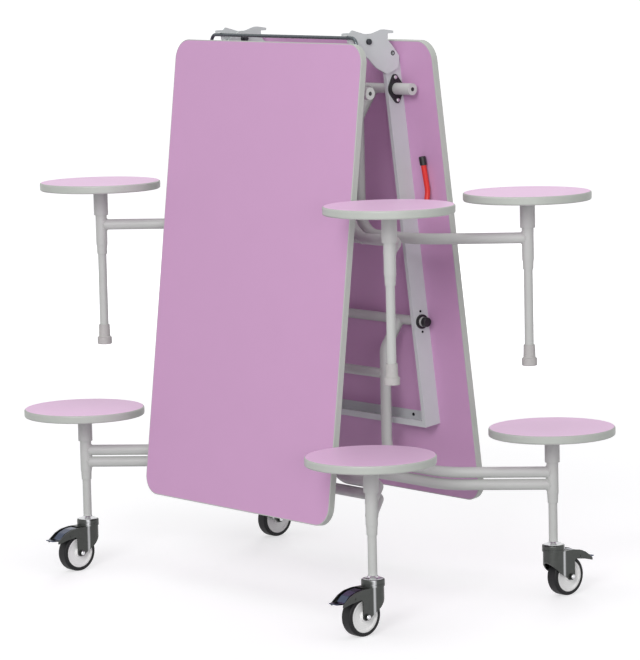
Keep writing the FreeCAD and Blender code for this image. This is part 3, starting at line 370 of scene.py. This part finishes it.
def turned_rings(material, radius, pitch):
    """0 to 1 rings round a wheel's axle. Generated coordinates put the axle at the middle of Y and Z."""
    box = add(material, "ShaderNodeTexCoord").outputs["Generated"]
    middle = {0: box, 1: (0.5, 0.5, 0.5)}
    centred = add(material, "ShaderNodeVectorMath", middle, operation="SUBTRACT").outputs[0]
    across = {0: centred, 1: (0.0, 2.0, 2.0)}
    flat = add(material, "ShaderNodeVectorMath", across, operation="MULTIPLY").outputs[0]
    reach = add(material, "ShaderNodeVectorMath", {0: flat}, operation="LENGTH").outputs["Value"]
    per_radius = 2 * math.pi * radius / pitch
    turns = add(material, "ShaderNodeMath", {0: reach, 1: per_radius}, operation="MULTIPLY").outputs[0]
    wave = add(material, "ShaderNodeMath", {0: turns}, operation="SINE").outputs[0]
    spread = {"Value": wave, "From Min": -1.0, "To Min": 0.0}
    return add(material, "ShaderNodeMapRange", spread).outputs["Result"]


def hub_plastic(name, colour):
    # Polypropylene hub off the mould: near white, satin, with faint turned rings of 5 mm from the tool.
    material, shader = surface(name, colour, roughness=0.32, IOR=1.49)
    speckled(material, shader, colour, turned_rings(material, 40 * MM, 5 * MM), dark=0.95, light=1.0)
    raised(material, shader, turned_rings(material, 40 * MM, 5 * MM), height=0.12 * MM)
    return material


def tyre_rubber(name, pitch):
    # Cured rubber tread: black with a dusty bloom, fine mould rings on its sides.
    colour = linear("#131315")
    material, shader = surface(name, colour, roughness=0.55, IOR=1.52, Specular_IOR_Level=0.3)
    speckled(material, shader, colour, noise(material, 7 * MM, 3), dark=0.7, light=1.5)
    raised(material, shader, turned_rings(material, 50 * MM, pitch), height=0.12 * MM)
    return material


def rubber_foot(name, colour):
    # Thermoplastic rubber ferrule off the mould: grey and dull, slightly scuffed.
    material, shader = surface(name, colour, roughness=0.62, IOR=1.5)
    speckled(material, shader, colour, noise(material, 5 * MM, 4), dark=0.9, light=1.06)
    raised(material, shader, noise(material, 1.6 * MM), height=0.06 * MM)
    return material


def seen_or_mirrored(owner):
    """1 for rays from the camera or off a gloss, and 0 for those that carry light."""
    path = add(owner, "ShaderNodeLightPath")
    rays = {0: path.outputs["Is Camera Ray"], 1: path.outputs["Is Glossy Ray"]}
    return add(owner, "ShaderNodeMath", rays, operation="MAXIMUM").outputs[0]


def finish(names, material):
    """Puts a material on CAD nodes."""
    for name in names:
        node = frame["nodes"][name]
        for slot in node.material_slots:
            slot.material = material
        if not node.material_slots:
            node.data.materials.append(material)


# ---- meshes ----

def joint_place(name):
    return Vector(JOINTS[name]["pos_m"])


def facing(end):
    """1 for the rear half, and -1 for the front half, which is the rear one turned by half a turn."""
    return 1 if end == "rear" else -1


def frame_origin(end, level):
    """Middle of a seat frame's pivot tube."""
    return joint_place("fold" if (end, level) == ("front", "lower") else f"{end}_{level}_pivot")


def on_panel(end, x, down, depth):
    """Place on a folded panel and the direction from its top face inwards. x runs as on the rear half."""
    turn = facing(end)
    far_limit = JOINTS["fold"]["range_deg"][1]
    lean = math.radians(90) - math.radians(far_limit)
    outward = Vector((0, turn * math.cos(lean), math.sin(lean)))
    downward = Vector((0, turn * math.sin(lean), -math.cos(lean)))
    start = joint_place("centre_hinge") + outward * HINGE_DROP + downward * HINGE_SETBACK
    return start + Vector((turn * x, 0, 0)) + downward * down - outward * depth, -outward


def straight_seam(centre, along, host, radius, host_radius):
    """Closed seam where a tube meets a straight host tube whose axis passes through centre."""
    side = along.cross(host).normalized()
    lift = side.cross(along)
    out = host.cross(side)
    out *= math.copysign(1.0, out.dot(along))
    # Where the tube is wider than its host, the seam keeps this distance from the host's axis.
    least_reach = 0.3 * host_radius
    seam = []
    for step in range(SEAM_STEPS):
        angle = 2 * math.pi * step / SEAM_STEPS
        radial = side * math.cos(angle) + lift * math.sin(angle)
        gap = host_radius ** 2 - (radius * math.cos(angle)) ** 2
        reach = math.sqrt(max(gap, least_reach ** 2))
        distance = (reach - radius * math.sin(angle) * lift.dot(out)) / along.dot(out)
        seam.append((centre + along * distance + radial * radius, radial))
    return seam


def knee_seam(knee, outward, radius, host_radius, bend):
    """Closed seam where a level tube meets the back of a bend that turns from down to outward."""
    seam = []
    for step in range(SEAM_STEPS):
        angle = 2 * math.pi * step / SEAM_STEPS
        radial = Vector((0, math.cos(angle), math.sin(angle)))
        rim = bend + math.sqrt(host_radius ** 2 - (radius * radial.y) ** 2)
        back = math.sqrt(rim ** 2 - (bend - radius * radial.z) ** 2)
        place_on_tube = Vector((outward * (bend - back), 0, 0)) + radial * radius
        seam.append((knee + place_on_tube, radial))
    return seam


def round_seam(centre, radius):
    """Closed round seam on a face that looks along X."""
    seam = []
    for step in range(SEAM_STEPS):
        angle = 2 * math.pi * step / SEAM_STEPS
        radial = Vector((0, math.cos(angle), math.sin(angle)))
        seam.append((centre + radial * radius, radial))
    return seam


def close_between(builder, near, far):
    """Faces between two rings with the same number of points."""
    for step in range(len(near)):
        after = (step + 1) % len(near)
        builder.faces.new((near[step], near[after], far[after], far[step]))


def add_bead(builder, seam, width, ripple=RIPPLE_SHARE):
    """Round bead along a closed seam, rippled as a weld unless ripple is 0."""
    turns = [2 * math.pi * step / BEAD_STEPS for step in range(BEAD_STEPS)]
    loops = []
    for index, (point, radial) in enumerate(seam):
        tangent = (seam[(index + 1) % SEAM_STEPS][0] - seam[index - 1][0]).normalized()
        across = tangent.cross(radial).normalized()
        normal = across.cross(tangent)
        swell = 1 + ripple * math.sin(2 * math.pi * WELD_RIPPLES * index / SEAM_STEPS)
        arms = [normal * math.cos(turn) + across * math.sin(turn) for turn in turns]
        loops.append([builder.verts.new(point + arm * width / 2 * swell) for arm in arms])
    for index, near in enumerate(loops):
        close_between(builder, near, loops[(index + 1) % SEAM_STEPS])


def hexagon_reach(angle):
    """Distance from a hexagon's middle to its outline, as a share of that to its corners."""
    return math.cos(math.pi / 6) / math.cos(angle % (math.pi / 3) - math.pi / 6)


def add_turned(builder, seat, axis, radius, height, profile):
    """Closed turned form that stands on a flat seat, from one of the profiles at the top."""
    side = axis.orthogonal().normalized()
    across = axis.cross(side)
    loops = []
    for reach, rise, shape in profile:
        ring = []
        for step in range(TURNED_STEPS):
            angle = 2 * math.pi * step / TURNED_STEPS
            shrink = hexagon_reach(angle) if shape is HEXAGON else 1.0
            arm = side * math.cos(angle) + across * math.sin(angle)
            ring.append(builder.verts.new(seat + arm * radius * reach * shrink + axis * height * rise))
        loops.append(ring)
    for near, far in zip(loops, loops[1:]):
        close_between(builder, near, far)
    builder.faces.new(loops[-1])
    builder.faces.new(loops[0])


def object_from(builder, name, material, body):
    """Makes a piece of the built mesh that rides on a body."""
    mesh = bpy.data.meshes.new(name)
    bmesh.ops.recalc_face_normals(builder, faces=builder.faces)
    builder.to_mesh(mesh)
    builder.free()
    for polygon in mesh.polygons:
        polygon.use_smooth = True
    mesh.set_sharp_from_angle(angle=SHARP_ANGLE)
    mesh.materials.append(material)
    piece = bpy.data.objects.new(name, mesh)
    bpy.context.scene.collection.objects.link(piece)
    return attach(piece, body)


# ---- operators, one for each piece or group of like pieces ----

class STOOLTABLE_OT_boards(Operator):
    """Lays laminate on the table panels and seats and gives them their edge lipping"""
    bl_idname = "stooltable.boards"
    bl_label = "Table panels and seats"

    def execute(self, context):
        settings = context.scene.stooltable_laminate
        top = laminate("Melamine laminate, suede pressed, lilac", settings.table_colour)
        # A paler copy of the table laminate, lightened for the upward seat tops: painted light.
        seat = laminate("Melamine laminate, suede pressed, pale lilac", settings.seat_lit_colour)
        edge = moulded_edge("Polypropylene edge, moulded", settings.lipping_colour)
        finish([f"{end}_table_panel" for end in ENDS], top)
        finish([f"{end}_{level}_{side}_seat" for end in ENDS for level in LEVELS for side in SIDES], seat)
        finish([f"{end}_panel_lipping" for end in ENDS], edge)
        finish([f"{end}_{level}_seat_edges" for end in ENDS for level in LEVELS], edge)
        return {"FINISHED"}


class STOOLTABLE_OT_tubes(Operator):
    """Powder coats the bent tube frames, legs and seat mounts"""
    bl_idname = "stooltable.tubes"
    bl_label = "Seat frames"

    def execute(self, context):
        colour = context.scene.stooltable_paint.tube_colour
        paint = powder_coat("Steel tube, bent and powder coated", colour)
        for part in ("frame", "legs", "seat_mounts"):
            finish([f"{end}_{level}_{part}" for end in ENDS for level in LEVELS], paint)
        return {"FINISHED"}


class STOOLTABLE_OT_welds(Operator):
    """Lays a weld bead round each joint of the four seat frames"""
    bl_idname = "stooltable.welds"
    bl_label = "Frame welds"

    def execute(self, context):
        settings = context.scene.stooltable_paint
        paint = powder_coat("Steel weld bead, powder coated", settings.tube_colour)
        for end in ENDS:
            for level in LEVELS:
                builder = bmesh.new()
                for seam in self.seams(end, level):
                    add_bead(builder, seam, settings.weld_width)
                body = f"{end}_{level}_seat_frame"
                object_from(builder, f"{end}_{level}_welds", paint, body)
        return {"FINISHED"}

    def seams(self, end, level):
        origin, turn = frame_origin(end, level), facing(end)

        def at(x, y, z):
            return origin + Vector((turn * x, turn * y, z))

        up = Vector((0, 0, 1))
        across = Vector((1, 0, 0))
        fall = Vector((0, turn * UPRIGHT_BEND.y, UPRIGHT_BEND.z)).normalized()
        for side, x in UPRIGHTS_X.items():
            yield straight_seam(at(x, 0, 0), fall, across, TUBE_RADIUS, PIVOT_RADIUS)
            if level == "lower":
                centre = at(x, RUN_Y, SECOND_CROSS_Z)
                yield straight_seam(centre, across * -side * turn, up, CROSS_RADIUS, TUBE_RADIUS)
            else:
                yield knee_seam(at(x, RUN_Y, ARM_Z), side * turn, CROSS_RADIUS, TUBE_RADIUS, KNEE_BEND)
            arm = Vector((-side * turn, -turn, 0)).normalized()
            for height in (ARM_Z, STACKED_ARM_Z) if level == "lower" else (ARM_Z,):
                socket = at(side * POST_X, POST_Y, height)
                yield straight_seam(socket, arm, up, TUBE_RADIUS, SOCKET_RADIUS)


class STOOLTABLE_OT_rails(Operator):
    """Powder coats the folded rails and the cut hinge plates"""
    bl_idname = "stooltable.rails"
    bl_label = "Rails and hinge plates"

    def execute(self, context):
        colour = context.scene.stooltable_paint.rail_colour
        paint = powder_coat("Steel sheet, folded and powder coated", colour)
        finish([f"{end}_rails" for end in ENDS] + ["horned_hinge_plates", "plain_hinge_plates"], paint)
        return {"FINISHED"}


class STOOLTABLE_OT_screws(Operator):
    """Fits the screws under the seats and in the rails, the tubes' bungs, and dark rings on the hinge
    plates that paint the shade in their holes
    """
    bl_idname = "stooltable.screws"
    bl_label = "Screws, bungs and rings"

    def execute(self, context):
        bright = zinc("Steel screw, zinc plated and polished", linear("#D0D1D4"), 0.22, 1.0)
        black = blackened_steel("Steel screw, black oxide", linear("#2C2D30"), 0.4)
        bung = nylon("Nylon bung, moulded, black", linear("#1A1A1C"))
        for end in ENDS:
            for level in LEVELS:
                self.seat_screws(end, level, bright)
            self.panel_screws(
                end, f"{end}_rail_screws", RAIL_SCREWS, RAIL_SCREW_RADIUS, bright, "screw_zinc")
            self.panel_screws(
                end, f"{end}_cross_screws", CROSS_SCREWS, CROSS_SCREW_RADIUS, black, "bolt_black")
            self.bush_ring_screws(end, black)
            self.tube_bungs(end, bung)
        self.hole_shade_rings(black)
        return {"FINISHED"}

    def seat_screws(self, end, level, material):
        builder = bmesh.new()
        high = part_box(f"{end}_{level}_seat_mounts")[1]
        post_y = frame_origin(end, level).y + facing(end) * POST_Y
        downward = Vector((0, 0, -1))
        for side in (-1, 1):
            middle = Vector((side * POST_X, post_y, high.z - SEAT_PLATE_THICKNESS))
            for quarter in range(4):
                angle = math.pi / 4 + quarter * math.pi / 2
                seat = middle + Vector((math.cos(angle), math.sin(angle), 0)) * SEAT_SCREW_CIRCLE
                add_turned(builder, seat, downward, SEAT_SCREW_RADIUS, SCREW_HEAD_HEIGHT, SOCKET_SCREW)
        body = f"{end}_{level}_seat_frame"
        object_from(builder, f"{end}_{level}_seat_screws", material, body)

    def panel_screws(self, end, name, places, radius, material, slot):
        builder = bmesh.new()
        for x, down, depth in places:
            seat, inward = on_panel(end, x, down, depth)
            add_turned(builder, seat, inward, radius, SCREW_HEAD_HEIGHT, SOCKET_SCREW)
        object_from(builder, name, material, f"{end}_panel")

    def bush_ring_screws(self, end, material):
        builder = bmesh.new()
        for side in (-1, 1):
            for down in BUSH_RING_SCREWS:
                seat = on_panel(end, side * RAIL_FACE, down, PIVOT_DEPTH)[0]
                outward = Vector((math.copysign(1, seat.x), 0, 0))
                add_turned(builder, seat, outward, RING_SCREW_RADIUS, RING_SCREW_HEIGHT, SOCKET_SCREW)
        object_from(builder, f"{end}_bush_ring_screws", material, f"{end}_panel")

    def tube_bungs(self, end, material):
        builder = bmesh.new()
        origin, turn = frame_origin(end, "upper"), facing(end)
        for side in (-1, 1):
            face = origin + Vector((turn * (TUBE_MIDDLE_X + side * UPPER_TUBE_HALF), 0, 0))
            add_turned(builder, face, Vector((turn * side, 0, 0)), BUNG_RADIUS, BUNG_HEIGHT, DOME)
        object_from(builder, f"{end}_tube_bungs", material, f"{end}_upper_seat_frame")

    def hole_shade_rings(self, material):
        builder = bmesh.new()
        for side in (-1, 1):
            middle = on_panel("rear", side * PLATE_FACE, PLATE_HOLE_DOWN, PIVOT_DEPTH)[0]
            # A dark ring round each hinge plate's hole: painted shade standing in for the shaded hole.
            add_bead(builder, round_seam(middle, HOLE_SHADE_RADIUS), HOLE_SHADE_WIDTH, ripple=0)
        object_from(builder, "hinge_plate_hole_shade_rings", material, "rear_panel")


class STOOLTABLE_OT_hardware(Operator):
    """Finishes bushes, screws, bolts, the latch bar, the release lever and the feet"""
    bl_idname = "stooltable.hardware"
    bl_label = "Bushes, latch and lever"

    def execute(self, context):
        black = nylon("Nylon, moulded, black", linear("#1A1A1C"))
        screws = zinc("Steel screw, zinc plated", linear("#E4E4E4"), 0.35, 1.0)
        bolts = blackened_steel("Steel bolt, black oxide", linear("#3A3C40"), 0.34)
        rod = blackened_steel("Steel rod, drawn and blackened", linear("#5A6064"), 0.26)
        lever_colour = context.scene.stooltable_paint.lever_colour
        red = powder_coat("Steel tube, powder coated, red", lever_colour, 0.3)
        grey = rubber_foot("Rubber ferrule, moulded, grey", linear("#BDBBB9"))
        finish([f"{end}_pivot_bushes" for end in ENDS], black)
        finish([f"{end}_lower_end_caps" for end in ENDS] + ["release_lever_cap"], black)
        finish([f"{end}_bush_screws" for end in ENDS], screws)
        finish(["hinge_bolts"], bolts)
        finish(["latch_bar"], rod)
        finish(["release_lever"], red)
        finish([f"{end}_upper_rubber_feet" for end in ENDS], grey)
        return {"FINISHED"}


class STOOLTABLE_OT_castors(Operator):
    """Plates the castor forks and pedals and finishes the wheels"""
    bl_idname = "stooltable.castors"
    bl_label = "Castors"

    def execute(self, context):
        settings = context.scene.stooltable_castor
        # The front castors are turned by half a turn, so their forks' bends lie at the other end of Y.
        for end, bend in (("front", 1 - FORK_BEND), ("rear", FORK_BEND)):
            # Dark zinc plate with painted shade, standing in for the dark room that the forks mirror.
            plate = zinc(f"Steel fork, pressed and zinc plated, {end}", settings.zinc_shaded_colour, 0.3, 0.1)
            # The light band along the bend is a painted highlight.
            painted_bend_highlight(plate, bend, FORK_HIGHLIGHT_WIDTH, linear("#BDBFC0"))
            finish([f"{end}_{side}_castor_fork" for side in SIDES], plate)
        names = [f"{end}_{side}_castor" for end in ENDS for side in SIDES]
        blued = zinc("Steel pedal, pressed and zinc plated, blued", linear("#4A5266"), 0.2, 0.1)
        hub = hub_plastic("Polypropylene hub, moulded, white", settings.hub_colour)
        tyre = tyre_rubber("Rubber tyre, cured, black", settings.tread_pitch)
        finish([f"{name}_pedal" for name in names], blued)
        finish([f"{name}_hub" for name in names], hub)
        finish([f"{name}_tyre" for name in names], tyre)
        return {"FINISHED"}


class STOOLTABLE_OT_castor_trim(Operator):
    """Adds the race cover on each castor's head and the cap nuts on its axle"""
    bl_idname = "stooltable.castor_trim"
    bl_label = "Castor covers and cap nuts"

    def execute(self, context):
        bright = zinc("Steel cover, pressed and bright zinc plated", linear("#DDDEE0"), 0.16, 1.0)
        up = Vector((0, 0, 1))
        for end in ENDS:
            for side in SIDES:
                castor = f"{end}_{side}"
                builder = bmesh.new()
                head = joint_place(f"{castor}_swivel")
                head.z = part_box(f"{castor}_castor_fork")[1].z
                add_turned(builder, head, up, RACE_COVER_RADIUS, RACE_COVER_HEIGHT, RACE_COVER)
                for way in (-1, 1):
                    seat = joint_place(f"{castor}_wheel_spin") + Vector((way * NUT_FACE, 0, 0))
                    add_turned(builder, seat, Vector((way, 0, 0)), CAP_NUT_RADIUS, CAP_NUT_HEIGHT, DOME)
                object_from(builder, f"{castor}_castor_trim", bright, f"{castor}_castor")
        return {"FINISHED"}


class STOOLTABLE_OT_stage(Operator):
    """Sets the floor, the room's light, the lamps and the camera"""
    bl_idname = "stooltable.stage"
    bl_label = "Stage"

    def execute(self, context):
        settings = context.scene.stooltable_stage
        self.floor(context, settings)
        self.room(context, settings)
        self.lamp("Key lamp", settings.key_power, size=3.4, where=(5.2, -7.4, 4.6), target=(0, 0, 0.75))
        self.lamp("Front lamp", settings.front_power, size=1.6, where=(8, -5, 1.9), target=(0, 0, 0.7))
        back = self.lamp(
            "Back lamp", settings.back_power, size=3.4, where=(-6, 6.5, 3.4), target=(0, 0, 0.8))
        # The seats don't mirror the lamp behind them.
        back.visible_glossy = False
        self.lamp("Top lamp", settings.top_power, size=3.0, where=(0.6, -0.6, 5.2), target=(0, 0, 0))
        self.camera(context, settings)
        context.scene.view_settings.view_transform = "Standard"
        return {"FINISHED"}

    def floor(self, context, settings):
        builder = bmesh.new()
        bmesh.ops.create_grid(builder, x_segments=1, y_segments=1, size=FLOOR_HALF)
        mesh = bpy.data.meshes.new("studio_floor")
        builder.to_mesh(mesh)
        builder.free()
        floor = bpy.data.objects.new("studio_floor", mesh)
        context.scene.collection.objects.link(floor)
        # Painted studio floor: pale and dull. Seen directly it is lifted to white, and keeps the shadow.
        material, shader = surface("Studio floor, painted matt", settings.floor_colour, roughness=0.85)
        seen = seen_or_mirrored(material)
        # The lift grows away from the table, where the lamps no longer reach.
        where = {0: place(material)}
        away = add(material, "ShaderNodeVectorMath", where, operation="LENGTH").outputs["Value"]
        growth = {"Value": away, "From Min": 1.5, "From Max": 9.0, "To Min": 0.55, "To Max": 0.8}
        most = add(material, "ShaderNodeMapRange", growth).outputs["Result"]
        lift = add(material, "ShaderNodeMath", {0: seen, 1: most}, operation="MULTIPLY").outputs[0]
        shader.inputs["Emission Color"].default_value = WHITE
        material.node_tree.links.new(lift, shader.inputs["Emission Strength"])
        mesh.materials.append(material)

    def room(self, context, settings):
        world = bpy.data.worlds.new("studio_room")
        world.use_nodes = True
        world.node_tree.nodes.clear()
        # White where it is seen, and the room light's strength where it lights the table.
        shown = {"Value": seen_or_mirrored(world), "To Min": settings.room_light, "To Max": 1.0}
        strength = add(world, "ShaderNodeMapRange", shown).outputs["Result"]
        light = add(world, "ShaderNodeBackground", {"Color": WHITE, "Strength": strength})
        add(world, "ShaderNodeOutputWorld", {"Surface": light.outputs["Background"]})
        context.scene.world = world

    def lamp(self, name, power, size, where, target):
        data = bpy.data.lights.new(name, "AREA")
        data.shape = "SQUARE"
        data.size = size
        data.energy = power
        lamp = bpy.data.objects.new(name, data)
        lamp.location = where
        lamp.rotation_euler = (Vector(target) - Vector(where)).to_track_quat("-Z", "Y").to_euler()
        bpy.context.scene.collection.objects.link(lamp)
        return lamp

    def camera(self, context, settings):
        data = bpy.data.cameras.new("camera")
        data.lens = settings.lens
        data.sensor_width = SENSOR_WIDTH
        data.clip_end = CAMERA_REACH
        camera = bpy.data.objects.new("camera", data)
        turn = Matrix.Rotation(math.radians(CAMERA_TURN), 4, "Z")
        pitch = Matrix.Rotation(math.pi / 2 + math.radians(CAMERA_PITCH), 4, "X")
        roll = Matrix.Rotation(math.radians(CAMERA_ROLL), 4, "Z")
        camera.matrix_world = Matrix.Translation(CAMERA_PLACE) @ (turn @ pitch @ roll)
        context.scene.collection.objects.link(camera)
        context.scene.camera = camera


# ---- sidebar ----

MAKERS = (
    STOOLTABLE_OT_boards, STOOLTABLE_OT_tubes, STOOLTABLE_OT_welds,
    STOOLTABLE_OT_rails, STOOLTABLE_OT_screws, STOOLTABLE_OT_hardware,
    STOOLTABLE_OT_castors, STOOLTABLE_OT_castor_trim, STOOLTABLE_OT_stage,
)
SETTINGS = {
    "stooltable_laminate": LaminateSettings,
    "stooltable_paint": PaintSettings,
    "stooltable_castor": CastorSettings,
    "stooltable_stage": StageSettings,
}


class STOOLTABLE_PT_sidebar(Panel):
    """Lists the table's pieces and their settings"""
    bl_label = "Folding Stool Table"
    bl_space_type = "VIEW_3D"
    bl_region_type = "UI"
    bl_category = "Stool Table"

    def draw(self, context):
        for maker in MAKERS:
            self.layout.operator(maker.bl_idname, text=maker.bl_label)
        for name, group in SETTINGS.items():
            box = self.layout.box()
            for key in group.__annotations__:
                box.prop(getattr(context.scene, name), key)


def register():
    for group in SETTINGS.values():
        bpy.utils.register_class(group)
    for name, group in SETTINGS.items():
        setattr(bpy.types.Scene, name, PointerProperty(type=group))
    for maker in MAKERS:
        bpy.utils.register_class(maker)
    bpy.utils.register_class(STOOLTABLE_PT_sidebar)


def unregister():
    bpy.utils.unregister_class(STOOLTABLE_PT_sidebar)
    for maker in reversed(MAKERS):
        bpy.utils.unregister_class(maker)
    for name, group in SETTINGS.items():
        delattr(bpy.types.Scene, name)
        bpy.utils.unregister_class(group)


def main():
    register()
    for maker in MAKERS:
        group, name = maker.bl_idname.split(".")
        getattr(getattr(bpy.ops, group), name)()


if __name__ == "__main__":
    main()
